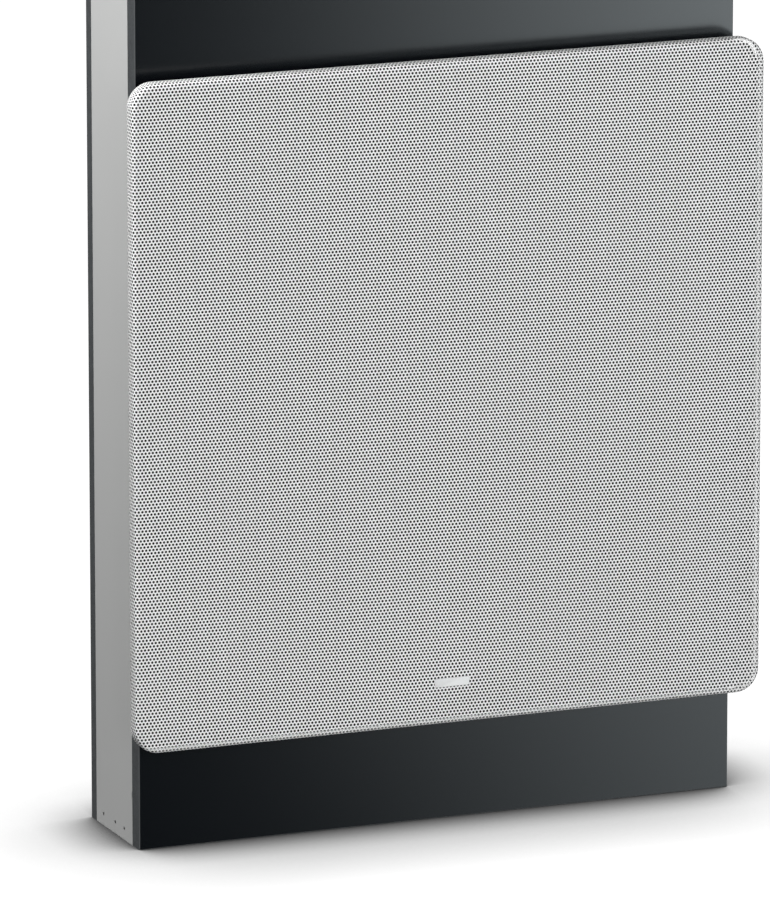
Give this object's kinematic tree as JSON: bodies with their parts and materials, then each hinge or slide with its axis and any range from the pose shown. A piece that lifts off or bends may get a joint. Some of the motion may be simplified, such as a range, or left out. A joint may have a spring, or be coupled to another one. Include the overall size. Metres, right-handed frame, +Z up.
{
  "type": "in wall speaker",
  "caption": "Slim closed box bass loudspeaker for a wall cavity, black front board, light grey sides and a square white perforated grille standing proud of the front.",
  "frame": {"origin": "middle of the cabinet's underside", "axes": "-Y out of the front, +Z up, +X to the right seen from the front"},
  "size_m": [0.447, 0.1168, 0.94],
  "materials": {
    "black_board": "satin black lacquer on the face, dark sealed edges",
    "grey_board": "smooth light grey paint",
    "plain_board": "plain board",
    "white_powder": "satin white powder coat",
    "black_cloth": "thin open weave cloth",
    "badge_plate": "brushed",
    "black_plastic": "fine matt",
    "zinc_steel": "zinc plated",
    "dark_steel": "black coated steel",
    "nickel": "nickel plated",
    "foam": "closed cell foam",
    "rubber": "moulded rubber",
    "pulp": "coated black pulp",
    "film": "polyimide film",
    "copper": "enamelled copper winding",
    "treated_cloth": "resin treated cloth",
    "ferrite": "pressed ferrite",
    "strip_card": "pressed board",
    "brass": "gold plated brass",
    "red_plastic": "gloss",
    "red_cover": "flexible cover",
    "black_cover": "flexible cover",
    "polyester": "loose polyester wadding"
  },
  "bodies": {
    "cabinet": {"front_baffle": "black_board", "rear_panel": "black_board", "side_panel_left": "grey_board", "side_panel_right": "grey_board", "side_pins": "zinc_steel", "top_panel": "plain_board", "bottom_panel": "plain_board", "brace_lower": "plain_board", "brace_middle": "plain_board", "brace_upper": "plain_board", "bezel_frame": "black_plastic", "bezel_screws": "dark_steel", "grille_magnets": "nickel", "driver_gasket": "foam", "driver_basket": "dark_steel", "driver_screws": "dark_steel", "surround": "rubber", "spider": "treated_cloth", "top_plate": "zinc_steel", "magnet_ring": "ferrite", "yoke": "zinc_steel", "terminal_strip": "strip_card", "strip_tags": "brass", "tinsel_leads": "copper", "terminal_cup": "black_plastic", "terminal_screws": "dark_steel", "post_red": "brass", "post_black": "brass", "post_nuts": "zinc_steel", "wire_red": "red_cover", "wire_black": "black_cover", "wadding": "polyester"},
    "grille_panel": {"grille": "white_powder", "grille_scrim": "black_cloth", "grille_badge": "badge_plate"},
    "cone_group": {"cone": "pulp", "dust_cap": "pulp", "coil_former": "film", "voice_coil": "copper"},
    "red_knob": {"knob_red": "red_plastic"},
    "black_knob": {"knob_black": "black_plastic"}
  },
  "joints": [
    {"name": "grille_pull", "type": "slide", "parent": "cabinet", "child": "grille_panel", "axis": [0, -1, 0], "range_m": [0, 0.06]},
    {"name": "cone_travel", "type": "slide", "parent": "cabinet", "child": "cone_group", "axis": [0, -1, 0], "range_m": [-0.008, 0.008], "stiffness_N_per_m": 5000, "deforming": ["surround", "spider", "tinsel_leads"]},
    {"name": "knob_red_turn", "type": "hinge", "parent": "cabinet", "child": "red_knob", "pos_m": [0.019, 0.03, 0.62], "axis": [0, 1, 0], "range_deg": [0, 720]},
    {"name": "knob_black_turn", "type": "hinge", "parent": "cabinet", "child": "black_knob", "pos_m": [-0.019, 0.03, 0.62], "axis": [0, 1, 0], "range_deg": [0, 720]}
  ]
}
